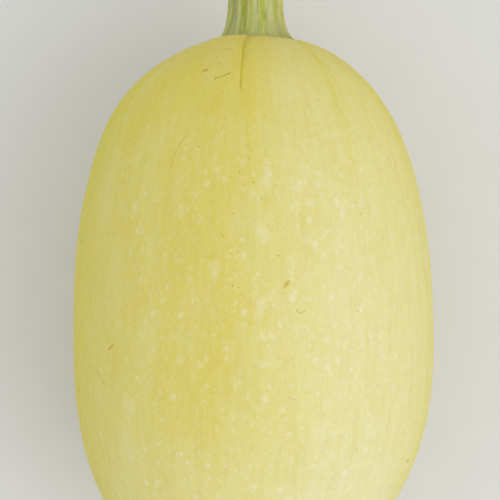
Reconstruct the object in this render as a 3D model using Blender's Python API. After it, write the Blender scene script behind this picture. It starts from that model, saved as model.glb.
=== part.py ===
"""A spaghetti squash lying on its side: the ripe fruit, and the cut stem that it hung by.

The fruit's axis runs along Y with the stem towards +Y. The fruit rests on a small flat spot
at z = 0, and the origin is on that spot, straight below the fruit's widest ring.
A turn is an angle about the fruit's axis: 0 is the top, and positive turns go towards +X.
"""

import math

import bmesh
import bpy

# The fruit's driving sizes, in metres
FRUIT_RADIUS = 0.070
STEM_END_REACH = 0.1136
BLOSSOM_END_REACH = 0.0950
BLOSSOM_END_BOW = 0.0032
FLAT_SPOT_DEPTH = 0.0010
AXIS_HEIGHT = FRUIT_RADIUS - FLAT_SPOT_DEPTH

# How blunt each end is: 2 is a plain ellipse, and more is blunter
STEM_END_FULLNESS = 2.40
BLOSSOM_END_FULLNESS = 2.36

# The flat seat at the stem end, which the stem's foot stands on
SEAT_RADIUS = 0.0190
SEAT_Y = 0.1114
SEAT_GAP = 0.0003

# The ten faint seams between the fruit's lobes, as turns in degrees, which swing out near the stem
SEAM_TURNS = (-45, -5.1, 34.5, 74, 112, 150, 190, 222, 254, 284)
SEAM_HALF_WIDTH = 0.0022
SEAM_DEPTH_AT_STEM = 0.0007
SEAM_DEPTH_AT_BLOSSOM = 0.0003
SEAM_FADE = 0.022
SEAM_SWING = math.radians(29)
SEAM_SWING_REACH = 0.0085

# The one seam that is pinched into a crease beside the stem
CREASE_TURN = math.radians(-5.1)
CREASE_TIP_Y = 0.0885
CREASE_LENGTH = SEAT_Y - CREASE_TIP_Y
CREASE_HALF_WIDTH = 0.0011
CREASE_DEPTH = 0.0011
CREASE_STEP = 0.0007
CREASE_STEP_REACH = 0.016
CREASE_END_SHARES = (0.80, 1.15)

# The low swellings that the shoulder has round the stem, and those of the whole fruit
SHOULDER_SWELL = 0.0005
SHOULDER_SWELL_RADIUS = 0.027
SHOULDER_SWELL_WIDTH = 0.010
WAIST_SWELL = 0.0004

# The waves that they are made of: height, waves round the fruit, turns per metre along it, start
SHOULDER_WAVES = ((0.30, 3, 0, 2.2), (0.15, 7, 0, 0.6))
WAIST_WAVES = ((1.0, 2, 24, 0.7), (0.6, 3, -41, 2.1))

# The left shoulder slopes more beside the stem, and is fuller further down
LEFT_SHOULDER_SLOPE = 0.0007
LEFT_SHOULDER_SLOPE_Y = 0.1060
LEFT_SHOULDER_SLOPE_WIDTH = 0.007
LEFT_SHOULDER_FULLNESS = 0.0009
LEFT_SHOULDER_FULLNESS_Y = 0.0830
LEFT_SHOULDER_FULLNESS_WIDTH = 0.016

# The blossom scar: a corky button in a shallow dimple
DIMPLE_DEPTH = 0.0018
DIMPLE_RADIUS = 0.0100
BUTTON_HEIGHT = 0.0012
BUTTON_RADIUS = 0.0050
BUTTON_EDGE = 0.25

# The stem, which was cut from the vine with a knife
STEM_LENGTH = 0.040
STEM_RADIUS = 0.0097
FOOT_SPREAD = 0.0056
FOOT_SPREAD_TO_RIGHT = 0.10
FOOT_HEIGHT = 0.0042
CUT_END_SPREAD = 0.0009
CUT_SLANT = math.radians(7)
CUT_HOLLOW = 0.0012
CUT_HOLLOW_SHARE = 0.45
CUT_BLEND = 4
MAJOR_RIDGE_TURNS = (-4, 68, 140, 212, 284)
MINOR_RIDGE_TURNS = (32, 104, 176, 248, 320)
MAJOR_RIDGE_HEIGHT = 0.0013
MINOR_RIDGE_HEIGHT = 0.0008
RIDGE_HALF_ANGLE = math.radians(9.5)
STEM_RISE = 0.0025
STEM_ASIDE = 0.0010
STEM_LEAN = 0.0008

# How finely the two solids are divided
FRUIT_SEGMENTS = 96
FRUIT_RINGS = 50
FRUIT_CROWDING = 0.42
RING_CROWDING = 0.33
STEM_SEGMENTS = 80
STEM_RINGS = 16
STEM_CROWDING = 1.6
CUT_FACE_RINGS = 3


def turn_gap(turn, other):
    """The signed angle from one turn to another, the short way round."""
    return math.remainder(turn - other, 2 * math.pi)


def bell(distance, half_width):
    """1 at no distance, falling smoothly to nothing."""
    return math.exp(-((distance / half_width) ** 2))


def fade(value, start, end):
    """0 before start, 1 after end, and a smooth slope between them."""
    share = min(1.0, max(0.0, (value - start) / (end - start)))
    return share * share * (3 - 2 * share)


def plain_profile(polar):
    """The plain fruit's half outline, a superellipse, for an angle from the stem end's axis.

    Returns the distance from the axis, the place along it, and the outward normal.
    """
    towards_stem = polar <= math.pi / 2
    reach = STEM_END_REACH if towards_stem else -BLOSSOM_END_REACH
    power = STEM_END_FULLNESS if towards_stem else BLOSSOM_END_FULLNESS
    across = max(0.0, math.sin(polar)) ** (2 / power)
    along = abs(math.cos(polar)) ** (2 / power)
    normal_out = across ** (power - 1) / FRUIT_RADIUS
    normal_along = along ** (power - 1) / reach
    size = math.hypot(normal_out, normal_along)
    return FRUIT_RADIUS * across, reach * along, normal_out / size, normal_along / size


def seam_aside(turn, out, along, seam):
    """How far to the right of a seam a point lies. The seam swings out beside the stem."""
    near_stem = min(1.0, math.exp(-(SEAT_Y - along) / SEAM_SWING_REACH))
    swing = SEAM_SWING * math.sin(seam) * (1 + math.cos(seam)) / 2
    return out * turn_gap(turn, seam + swing * near_stem)


def seam_relief(turn, out, along):
    """The faint grooves between lobes, deepest beside the stem."""
    depth = SEAM_DEPTH_AT_STEM * math.exp(-(SEAT_Y - along) / SEAM_FADE)
    depth += SEAM_DEPTH_AT_BLOSSOM * math.exp(-(along + BLOSSOM_END_REACH) / SEAM_FADE)
    depth *= fade(out, 0.0, SEAT_RADIUS)
    seams = (math.radians(degrees) for degrees in SEAM_TURNS)
    return -depth * sum(bell(seam_aside(turn, out, along, seam), SEAM_HALF_WIDTH) for seam in seams)


def crease_relief(turn, out, along):
    """The pinched crease beside the stem, and the lobe on its left that stands a little proud."""
    down = (SEAT_Y - along) / CREASE_LENGTH
    aside = seam_aside(turn, out, along, CREASE_TURN)
    present = (1 - fade(down, *CREASE_END_SHARES)) * fade(out, SEAT_RADIUS / 2, SEAT_RADIUS)
    groove = -CREASE_DEPTH * bell(aside, CREASE_HALF_WIDTH)
    step_up = fade(aside, CREASE_HALF_WIDTH / 2, -CREASE_HALF_WIDTH / 2)
    fade_out = fade(aside, -CREASE_STEP_REACH, -2 * CREASE_HALF_WIDTH)
    return present * (groove + CREASE_STEP * step_up * fade_out)


def waves(kinds, turn, along):
    """A sum of sines that run round the fruit and along it."""
    total = 0.0
    for height, round_it, by, start in kinds:
        total += height * math.sin(round_it * turn + by * along + start)
    return total


def swell_relief(turn, out, along):
    """Broad low swellings: lobes round the stem, and a gentle unevenness of the whole fruit."""
    round_stem = bell(out - SHOULDER_SWELL_RADIUS, SHOULDER_SWELL_WIDTH) if along > 0 else 0.0
    lobes = 0.55 + waves(SHOULDER_WAVES, turn, along)
    uneven = waves(WAIST_WAVES, turn, along) * fade(out, SEAT_RADIUS, 2.6 * SEAT_RADIUS)
    return SHOULDER_SWELL * round_stem * lobes + WAIST_SWELL * uneven


def left_shoulder_relief(turn, along):
    """The left shoulder's own shape, strongest at a turn of -90 degrees."""
    leftness = max(0.0, -math.sin(turn)) ** 1.5
    slope = bell(along - LEFT_SHOULDER_SLOPE_Y, LEFT_SHOULDER_SLOPE_WIDTH)
    fullness = bell(along - LEFT_SHOULDER_FULLNESS_Y, LEFT_SHOULDER_FULLNESS_WIDTH)
    return leftness * (LEFT_SHOULDER_FULLNESS * fullness - LEFT_SHOULDER_SLOPE * slope)


def blossom_relief(out, along):
    """The dimple at the blossom end and the corky button in it."""
    if along > 0:
        return 0.0
    button = BUTTON_HEIGHT * fade(out, BUTTON_RADIUS * (1 + BUTTON_EDGE), BUTTON_RADIUS * (1 - BUTTON_EDGE))
    return button - DIMPLE_DEPTH * bell(out, DIMPLE_RADIUS)


def fruit_point(turn, polar):
    """The fruit's surface: the plain outline pushed along its own normal by the relief."""
    out, along, normal_out, normal_along = plain_profile(polar)
    relief = seam_relief(turn, out, along) + crease_relief(turn, out, along)
    relief += swell_relief(turn, out, along) + left_shoulder_relief(turn, along)
    relief += blossom_relief(out, along)
    out += relief * normal_out
    along += relief * normal_along
    if out <= SEAT_RADIUS and along > 0:
        along = SEAT_Y
    bow = BLOSSOM_END_BOW * (along / BLOSSOM_END_REACH) ** 2 if along < 0 else 0.0
    return out * math.sin(turn) - bow, along, AXIS_HEIGHT + out * math.cos(turn)


def ridge_relief(turn, ridge_turns, height):
    """Rounded ridges that run along the stem."""
    return sum(height * bell(turn_gap(turn, math.radians(at)), RIDGE_HALF_ANGLE) for at in ridge_turns)


def stem_radius(turn, up):
    """The stem's outline: a ridged shaft that spreads at its foot and a little at its cut end."""
    ridges = ridge_relief(turn, MAJOR_RIDGE_TURNS, MAJOR_RIDGE_HEIGHT)
    ridges += ridge_relief(turn, MINOR_RIDGE_TURNS, MINOR_RIDGE_HEIGHT)
    foot = FOOT_SPREAD * (1 + FOOT_SPREAD_TO_RIGHT * math.sin(turn)) * math.exp(-up / FOOT_HEIGHT)
    cut_end = CUT_END_SPREAD * math.exp(-(STEM_LENGTH - up) / FOOT_HEIGHT)
    return STEM_RADIUS + foot + cut_end + ridges


def stem_point(turn, up_share, across_share):
    """A point of the stem: up_share runs from foot to cut, and across_share from axis to skin."""
    up = STEM_LENGTH * up_share
    out = across_share * stem_radius(turn, up)
    slant = math.tan(CUT_SLANT) * out * math.cos(turn) * up_share**CUT_BLEND
    hollow = CUT_HOLLOW * bell(across_share, CUT_HOLLOW_SHARE) * up_share**CUT_BLEND
    bend = up_share * up_share
    x = out * math.sin(turn) + STEM_ASIDE + STEM_LEAN * bend
    y = SEAT_Y + SEAT_GAP + up - slant - hollow
    z = AXIS_HEIGHT + out * math.cos(turn) + STEM_RISE * bend
    return x, y, z


def principled(name, colour, roughness):
    """A plain shiny-or-dull material."""
    material = bpy.data.materials.new(name)
    material.use_nodes = True
    shader = material.node_tree.nodes["Principled BSDF"]
    shader.inputs["Base Color"].default_value = (*colour, 1.0)
    shader.inputs["Roughness"].default_value = roughness
    shader.inputs["Metallic"].default_value = 0.0
    return material


def finish_object(name, mesh, material, collection):
    """Puts a finished bmesh into the scene as one smooth-shaded object."""
    data = bpy.data.meshes.new(name)
    mesh.to_mesh(data)
    mesh.free()
    data.shade_smooth()
    data.set_sharp_from_angle(angle=math.radians(40))
    data.materials.append(material)
    part = bpy.data.objects.new(name, data)
    collection.objects.link(part)
    return part


def make_fruit(collection):
    """A UV sphere with its poles on the axis, moved onto the fruit's surface and cut flat below."""
    mesh = bmesh.new()
    bmesh.ops.create_uvsphere(mesh, u_segments=FRUIT_SEGMENTS, v_segments=FRUIT_RINGS, radius=1.0)
    for vertex in mesh.verts:
        ball_x, ball_y, ball_z = vertex.co
        even_turn = math.atan2(ball_x, -ball_y)
        even_polar = math.acos(max(-1.0, min(1.0, ball_z)))
        # Segments crowd towards the crease, and rings towards both ends.
        turn = even_turn - FRUIT_CROWDING * math.sin(even_turn - CREASE_TURN)
        polar = even_polar - RING_CROWDING * math.sin(2 * even_polar)
        vertex.co = fruit_point(turn, polar)
    ground = bmesh.ops.bisect_plane(
        mesh,
        geom=[*mesh.verts, *mesh.edges, *mesh.faces],
        plane_co=(0, 0, 0),
        plane_no=(0, 0, -1),
        clear_outer=True,
    )
    rim = [item for item in ground["geom_cut"] if isinstance(item, bmesh.types.BMEdge)]
    bmesh.ops.edgeloop_fill(mesh, edges=rim)
    bmesh.ops.recalc_face_normals(mesh, faces=mesh.faces)
    rind = principled("ripe_rind", (0.72, 0.62, 0.22), 0.42)
    return finish_object("fruit", mesh, rind, collection)


def make_stem(collection):
    """A capped cylinder, divided along its length, moved onto the stem's ridged surface."""
    mesh = bmesh.new()
    bmesh.ops.create_cone(
        mesh, cap_ends=True, segments=STEM_SEGMENTS, radius1=1.0, radius2=1.0, depth=1.0
    )
    length_edges = [edge for edge in mesh.edges if abs(edge.verts[0].co.z - edge.verts[1].co.z) > 0.5]
    bmesh.ops.subdivide_edges(mesh, edges=length_edges, cuts=STEM_RINGS - 1, use_grid_fill=True)
    caps = [face for face in mesh.faces if len(face.verts) == STEM_SEGMENTS]
    for cap in caps:
        rings = CUT_FACE_RINGS if cap.normal.z > 0 else 1
        for _ in range(rings):
            step = 1.0 / (rings + 1)
            bmesh.ops.inset_individual(mesh, faces=[cap], thickness=step, use_even_offset=True)
        bmesh.ops.poke(mesh, faces=[cap])
    for vertex in mesh.verts:
        pin_x, pin_y, pin_z = vertex.co
        # The cylinder stands on z = -0.5; its rings crowd towards the spreading foot.
        up_share = (pin_z + 0.5) ** STEM_CROWDING
        vertex.co = stem_point(math.atan2(pin_x, -pin_y), up_share, math.hypot(pin_x, pin_y))
    bmesh.ops.recalc_face_normals(mesh, faces=mesh.faces)
    bark = principled("dry_stem", (0.40, 0.38, 0.17), 0.80)
    return finish_object("stem", mesh, bark, collection)


def main():
    for old in list(bpy.data.objects):
        bpy.data.objects.remove(old)
    squash = bpy.data.collections.new("spaghetti_squash")
    bpy.context.scene.collection.children.link(squash)
    make_fruit(squash)
    make_stem(squash)


main()
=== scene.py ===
# %% [markdown]
# # A spaghetti squash, dressed for its portrait
# A spaghetti squash is a ripe winter squash, here 14 cm thick and 25 cm long with its stem. Its
# rind is pale butter yellow, waxy and hard, with cream flecks in lengthwise columns. Its stem is
# dry, ridged and corky, and was cut with a knife. This notebook takes the plain solids of the
# fruit and the stem and lays a fine surface over each, worked out from the same formulas, then
# gives both a finish made of nodes.
#
# Everything is in metres. The fruit lies on its side with its axis along Y, the stem towards +Y,
# and +Z up. A turn is an angle about the axis: 0 is the top, and positive turns go towards +X.

# %% Load the plain solids
import math
from functools import partialmethod

import bmesh
import bpy
import numpy as np
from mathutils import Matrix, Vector


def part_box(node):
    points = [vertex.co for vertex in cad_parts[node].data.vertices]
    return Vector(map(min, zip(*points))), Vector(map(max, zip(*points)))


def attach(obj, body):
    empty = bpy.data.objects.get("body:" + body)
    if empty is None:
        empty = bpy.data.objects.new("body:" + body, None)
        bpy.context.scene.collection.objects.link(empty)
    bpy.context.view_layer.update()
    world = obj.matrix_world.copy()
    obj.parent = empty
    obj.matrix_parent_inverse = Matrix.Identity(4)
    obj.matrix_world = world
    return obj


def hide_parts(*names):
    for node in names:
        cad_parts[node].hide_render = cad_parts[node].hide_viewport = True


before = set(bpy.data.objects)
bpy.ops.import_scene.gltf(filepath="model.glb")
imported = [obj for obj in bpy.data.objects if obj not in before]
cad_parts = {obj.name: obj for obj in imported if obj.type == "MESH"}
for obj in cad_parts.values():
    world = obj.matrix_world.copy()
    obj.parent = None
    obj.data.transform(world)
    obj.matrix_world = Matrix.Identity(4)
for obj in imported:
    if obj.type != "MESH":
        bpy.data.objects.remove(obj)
scene = bpy.context.scene
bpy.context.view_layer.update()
fruit_low, fruit_high = (np.array(corner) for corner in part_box("fruit"))
stem_low, stem_high = (np.array(corner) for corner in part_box("stem"))
print("fruit solid, mm:", ((fruit_high - fruit_low) * 1000).round(1).tolist())
print("stem solid, mm:", ((stem_high - stem_low) * 1000).round(1).tolist())

# %% [markdown]
# ## The camera
# The squash is seen from straight above, so close that both its ends run out of the picture. The
# lens and the height were worked out together: the nearer the camera is, the more the rounded
# top swells against the outline. A little over half a metre above the skin fits the outline.

# %% Camera
CAMERA_PLACE = (-0.0012, 0.0309, 0.689)
SENSOR_WIDTH = 36.0
FOCAL_LENGTH = 114.7

camera_data = bpy.data.cameras.new("portrait_camera")
camera_data.sensor_fit = "HORIZONTAL"
camera_data.sensor_width = SENSOR_WIDTH
camera_data.lens = FOCAL_LENGTH
camera = bpy.data.objects.new("portrait_camera", camera_data)
camera.location = CAMERA_PLACE
scene.collection.objects.link(camera)
scene.camera = camera
print("camera", CAMERA_PLACE, "lens", FOCAL_LENGTH)

# %% [markdown]
# ## Helpers for grids
# Every surface is a grid of points whose rows close round an axis. The first and last rows shrink
# to one point each, so the mesh is closed. Each corner's place on the unrolled skin goes into a
# UV map, so that a pattern can follow the surface without a jump where the last column meets the
# first.

# %% Smooth steps, bells and noise
def fade(value, start, end):
    """0 before start and 1 after end, by the smooth slope s * s * (3 - 2 * s)."""
    share = np.clip((value - start) / (end - start), 0.0, 1.0)
    return share * share * (3 - 2 * share)


def bell(distance, half_width):
    """exp(-(distance / half_width) squared): 1 at no distance, falling smoothly to nothing."""
    return np.exp(-((distance / half_width) ** 2))


def turn_gap(turn, other):
    """The signed angle from one turn to another, the short way round."""
    return (turn - other + np.pi) % (2 * np.pi) - np.pi


def smooth_noise(points, cell, seed):
    """Value noise from -1 to 1: random numbers on a cubic lattice, blended by smooth steps."""
    lattice = np.random.default_rng(seed).uniform(-1, 1, (16, 16, 16))
    place = points / cell
    base = np.floor(place).astype(int)
    share = fade(place - base, 0.0, 1.0)
    total = np.zeros(points.shape[:-1])
    for corner in np.ndindex(2, 2, 2):
        index = (base + corner) % 16
        weight = np.prod(np.where(corner, share, 1 - share), axis=-1)
        total += weight * lattice[index[..., 0], index[..., 1], index[..., 2]]
    return total


def vectors(*parts):
    """One array of vectors from arrays of x, y and z that broadcast together."""
    return np.stack(np.broadcast_arrays(*parts), axis=-1)


# %% A closed mesh from a grid
def own_vertices(grid):
    """The grid without its repeated last column, and with one vertex for its first and last row."""
    inner = grid[1:-1, :-1].reshape(-1, *grid.shape[2:])
    return np.concatenate([grid[:1, 0], inner, grid[-1:, 0]])


# The first row, the rows between and the last row, with the corners that their cells' faces use
BANDS = ((slice(2), [0, 1, 2]), (slice(1, -1), [0, 1, 2, 3]), (slice(-2, None), [0, 1, 3]))


def cell_corners(grid):
    """The four corners of each cell of a grid: from its first row down, across and up again."""
    return [grid[:-1, :-1], grid[1:, :-1], grid[1:, 1:], grid[:-1, 1:]]


def closed_mesh(name, points, places, paints):
    """A mesh from rows by columns of points, whose first and last rows are one point each.

    The last column lies on the first, but its UV in places goes on, so the last strip ends at its
    own value. paints names arrays of one number for each point, which a finish reads by name.
    """
    rows, columns = points.shape[0], points.shape[1] - 1
    vertices = own_vertices(points)
    row, column = np.meshgrid(np.arange(rows), np.arange(columns + 1), indexing="ij")
    index = 1 + (row - 1) * columns + column % columns
    index[0] = 0
    index[-1] = len(vertices) - 1
    places = places.copy()
    places[[0, -1], :-1] = (places[[0, -1], :-1] + places[[0, -1], 1:]) / 2
    faces, corners = [], []
    for band, used in BANDS:
        face_corners = np.stack(cell_corners(index[band]), axis=-1)[..., used]
        faces += face_corners.reshape(-1, len(used)).tolist()
        corners.append(np.stack(cell_corners(places[band]), axis=-2)[..., used, :].reshape(-1, 2))
    mesh = bpy.data.meshes.new(name)
    mesh.from_pydata(vertices.tolist(), [], faces)
    mesh.uv_layers.new(name="skin").data.foreach_set("uv", np.vstack(corners).ravel())
    for paint, values in paints.items():
        numbers = own_vertices(np.broadcast_to(values, points.shape[:2])).astype(np.float32)
        mesh.attributes.new(paint, "FLOAT", "POINT").data.foreach_set("value", numbers)
    mesh.shade_smooth()
    mesh.update()
    piece = bpy.data.objects.new(name, mesh)
    scene.collection.objects.link(piece)
    shell = bmesh.new()
    shell.from_mesh(mesh)
    cubic_cm = shell.calc_volume(signed=True) * 1e6
    shell.free()
    print(f"{name}: {2 * len(faces) - 2 * columns} triangles round {cubic_cm:.4f} cubic cm")
    return piece


# %% [markdown]
# ## The fruit's form
# The plain outline is a superellipse, blunter at the stem end than at the blossom end. Fine
# relief is laid on it along its own normal: the seams between lobes, low swellings, the crease
# pinched beside the stem, two warts, and a corky button at the blossom end. The sizes are the
# solid's own, so the fine skin lies on it.

# %% The fruit's sizes
FRUIT_RADIUS = 0.070
STEM_END_REACH = 0.1136
BLOSSOM_END_REACH = 0.0950
BLOSSOM_END_BOW = 0.0032
AXIS_HEIGHT = 0.069
STEM_END_FULLNESS = 2.40
BLOSSOM_END_FULLNESS = 2.36
SEAT_RADIUS = 0.0190
SEAT_Y = 0.1114


# %% The plain outline, by the length of skin from the stem's axis
def plain_outline():
    """The superellipse: across is sin(angle) to 2 / fullness, and along is the same of the cosine.

    Returns skin length, distance from the axis, place along it, and the normal's two parts.
    """
    polar = np.linspace(0.0, np.pi, 20001)
    stem_side = polar <= np.pi / 2
    reach = np.where(stem_side, STEM_END_REACH, BLOSSOM_END_REACH)
    fullness = np.where(stem_side, STEM_END_FULLNESS, BLOSSOM_END_FULLNESS)
    across = np.clip(np.sin(polar), 0.0, 1.0) ** (2 / fullness)
    along = np.abs(np.cos(polar)) ** (2 / fullness)
    normal_out = across ** (fullness - 1) / FRUIT_RADIUS
    normal_along = along ** (fullness - 1) / reach
    size = np.hypot(normal_out, normal_along)
    sign = np.where(stem_side, 1.0, -1.0)
    out = FRUIT_RADIUS * across
    place = sign * reach * along
    length = np.concatenate([[0.0], np.cumsum(np.hypot(np.diff(out), np.diff(place)))])
    return length, out, place, normal_out / size, sign * normal_along / size


outline = plain_outline()
SKIN_LENGTH = outline[0][-1]
print("skin from pole to pole, mm:", round(SKIN_LENGTH * 1000, 1))

# %% The seams between lobes
SEAM_TURNS = np.radians([-45, -5.1, 34.5, 74, 112, 150, 190, 222, 254, 284])
SEAM_HALF_WIDTH = 0.0022
SEAM_DEPTH_AT_STEM = 0.00035
SEAM_DEPTH_AT_BLOSSOM = 0.0003
SEAM_FADE = 0.022
SEAM_SWING = math.radians(29)
SEAM_SWING_REACH = 0.0085


def seam_swing(seam):
    """How far a seam swings out beside the stem: most on the upper flanks, nothing underneath."""
    return SEAM_SWING * math.sin(seam) * (1 + math.cos(seam)) / 2


def seam_aside(turn, out, along, seam):
    """How far to the right of a seam a point lies, with the swing fading away from the stem."""
    near_stem = np.minimum(1.0, np.exp(-(SEAT_Y - along) / SEAM_SWING_REACH))
    return out * turn_gap(turn, seam + seam_swing(seam) * near_stem)


def seam_relief(turn, out, along):
    """Faint grooves between lobes: a bell across each seam, deepest beside the stem."""
    depth = SEAM_DEPTH_AT_STEM * np.exp(-(SEAT_Y - along) / SEAM_FADE)
    depth = depth + SEAM_DEPTH_AT_BLOSSOM * np.exp(-(along + BLOSSOM_END_REACH) / SEAM_FADE)
    grooves = sum(bell(seam_aside(turn, out, along, seam), SEAM_HALF_WIDTH) for seam in SEAM_TURNS)
    return -depth * grooves * fade(out, 0.0, SEAT_RADIUS)


# %% The swellings: height, middle and half width, and waves: height, number, slant and start
SHOULDER_SWELL = (0.0005, 0.027, 0.010)
SHOULDER_WAVES = ((0.30, 3, 0, 2.2), (0.15, 7, 0, 0.6))
WAIST_SWELL = 0.0004
WAIST_WAVES = ((1.0, 2, 24, 0.7), (0.6, 3, -41, 2.1))
LEFT_SHOULDER_FULLNESS = (0.0009, 0.0830, 0.016)
LEFT_SHOULDER_SLOPE = (0.0007, 0.1060, 0.007)


def swelling(place, height, middle, half_width):
    """A bell of this height and half width about a middle."""
    return height * bell(place - middle, half_width)


def waves(kinds, turn, along):
    """A sum of sines: their height, how many go round, their slant along the axis and start."""
    total = 0.0
    for height, count, slant, start in kinds:
        total = total + height * np.sin(count * turn + slant * along + start)
    return total


def swell_relief(turn, out, along):
    """Low lobes round the stem, a gentle unevenness of the whole fruit, and the left shoulder."""
    round_stem = swelling(out, *SHOULDER_SWELL) * (along > 0)
    lobes = 0.55 + waves(SHOULDER_WAVES, turn, along)
    uneven = waves(WAIST_WAVES, turn, along) * fade(out, SEAT_RADIUS, 2.6 * SEAT_RADIUS)
    leftness = np.clip(-np.sin(turn), 0.0, 1.0) ** 1.5
    left = swelling(along, *LEFT_SHOULDER_FULLNESS) - swelling(along, *LEFT_SHOULDER_SLOPE)
    return round_stem * lobes + WAIST_SWELL * uneven + leftness * left


# %% [markdown]
# ## The crease beside the stem
# One seam is pinched shut into a sharp crease about two centimetres long. The lobe on its left
# stands a little proud and rounds over it, and beside the stem the crease opens into a small
# wedge. Its line is a bell across a path, and the proud lobe is a step that fades out leftwards.

# %% The crease
CREASE_TURN = math.radians(-5.1)
CREASE_TIP_Y = 0.0885
CREASE_LENGTH = SEAT_Y - CREASE_TIP_Y
CREASE_HALF_WIDTH = 0.00035
CREASE_DEPTH = 0.00018
CREASE_STEP = 0.00022
CREASE_END_SHARES = (0.95, 1.05)
CREASE_TOP = (0.1094, 0.1064)
CREASE_STEP_EDGE = (0.0003, -0.0007)
CREASE_STEP_REACH = (-0.016, -0.002)
CREASE_START_RADIUS = 0.012
WEDGE_WIDTH = 0.0030
WEDGE_DEPTH = 0.00022
WEDGE_LENGTH = 0.0064
WEDGE_LEFT_EDGE = (-0.0004, 0.0003)
WEDGE_RIGHT_EDGE = (0.0012, -0.0010)
WEDGE_TIP_WIDTH = 0.0008


def crease_present(out, along):
    """1 beside the stem, fading to nothing at the crease's tip."""
    down = (SEAT_Y - along) / CREASE_LENGTH
    return (1 - fade(down, *CREASE_END_SHARES)) * fade(out, CREASE_START_RADIUS, SEAT_RADIUS)


def wedge_present(aside, along):
    """1 in a triangle on the right of the crease, widest at the stem, with soft edges."""
    width = WEDGE_WIDTH * np.clip(1 - (SEAT_Y - along) / WEDGE_LENGTH, 0.0, 1.0)
    inside = fade(aside, *WEDGE_LEFT_EDGE) * fade(aside - width, *WEDGE_RIGHT_EDGE)
    return inside * fade(width, 0, WEDGE_TIP_WIDTH)


def crease_relief(turn, out, along):
    """A narrow groove, a step up on its left, and a wider wedge at the stem."""
    aside = seam_aside(turn, out, along, CREASE_TURN)
    groove = CREASE_DEPTH * bell(aside, CREASE_HALF_WIDTH) * fade(along, *CREASE_TOP)
    wedge = WEDGE_DEPTH * wedge_present(aside, along)
    left_lobe = CREASE_STEP * fade(aside, *CREASE_STEP_EDGE) * fade(aside, *CREASE_STEP_REACH)
    return crease_present(out, along) * (left_lobe - groove - wedge)


# %% The rim of rind round the stem's foot
RIM_RADIUS = 0.0172
RIM_WIDTH = 0.0026
RIM_HEIGHT = 0.0009
LOBE_LEFT_EDGE = np.radians([-62, -40])
LOBE_RIGHT_EDGE = np.radians([-6, -10])


def rim_relief(turn, out):
    """The rind laps up against the stem's foot, highest on the lobe left of the crease."""
    left_lobe = fade(turn, *LOBE_LEFT_EDGE) * fade(turn, *LOBE_RIGHT_EDGE)
    uneven = 0.25 + 0.15 * np.sin(5 * turn + 1.0) + 0.10 * np.sin(11 * turn)
    return RIM_HEIGHT * (left_lobe + uneven) * bell(out - RIM_RADIUS, RIM_WIDTH)


# %% The blossom end
DIMPLE_DEPTH = 0.0018
DIMPLE_RADIUS = 0.0100
BUTTON_HEIGHT = 0.0012
BUTTON_RADIUS = 0.0050
BUTTON_WRINKLE = 0.00022
BUTTON_RIM_WIDTH = 0.0018
BUTTON_MIDDLE = 0.0015


def button_present(turn, out, along):
    """1 on the corky button and 0 off it, with a ragged edge."""
    ragged = BUTTON_RADIUS * (1 + 0.07 * np.sin(5 * turn + 0.8) + 0.05 * np.sin(13 * turn))
    return (along < 0) * fade(out, ragged * 1.22, ragged * 0.80)


def blossom_relief(turn, out, along):
    """A shallow dimple with a corky button in it, whose rim is wrinkled and middle sunken."""
    button = BUTTON_HEIGHT * button_present(turn, out, along)
    sunken = 0.6 * BUTTON_HEIGHT * bell(out, BUTTON_MIDDLE)
    wrinkles = BUTTON_WRINKLE * np.sin(24 * turn + 2 * np.sin(5 * turn))
    wrinkles = wrinkles * bell(out - BUTTON_RADIUS, BUTTON_RIM_WIDTH)
    return button + (along < 0) * (wrinkles - sunken - DIMPLE_DEPTH * bell(out, DIMPLE_RADIUS))


# %% Two small warts on the right shoulder: turn in degrees, place, half width and stretch
WARTS = ((54.0, 0.1051, 0.0011, 0.625), (56.5, 0.1032, 0.0008, 0.625))
WART_HEIGHT = 0.00035


def soft_ovals(ovals, turn, out, along):
    """A bell at each oval, whose stretch is how many times longer than wide it is."""
    total = 0.0
    for degrees, place, half_width, stretch in ovals:
        across = out * turn_gap(turn, math.radians(degrees))
        total = total + bell(np.hypot(across, (along - place) / stretch), half_width)
    return total


# %% Shape the fruit
FRUIT_COLUMNS = 400
FRUIT_ROWS = 236
FRUIT_CROWDING = 0.42
CONTACT_ROUNDING = 0.0003
SKIN_LUMPS = ((0.00012, 0.021, 3), (0.00004, 0.0055, 5))


def row_lengths():
    """The rows' places along the skin, closest beside the stem and at the blossom scar."""
    fine = np.linspace(0.0, SKIN_LENGTH, 4000)
    density = 1.0 + 1.4 * (bell(fine - 0.030, 0.030) + bell(SKIN_LENGTH - fine, 0.018))
    count = np.concatenate([[0.0], np.cumsum((density[1:] + density[:-1]) / 2)])
    return np.interp(np.linspace(0.0, count[-1], FRUIT_ROWS), count, fine)


even_turn = np.linspace(-np.pi, np.pi, FRUIT_COLUMNS + 1)
fruit_turn = (even_turn - FRUIT_CROWDING * np.sin(even_turn - CREASE_TURN))[None, :]
fruit_length = row_lengths()[:, None]
fruit_out, fruit_along, normal_out, normal_along = (
    np.interp(fruit_length, outline[0], part) for part in outline[1:]
)


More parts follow.
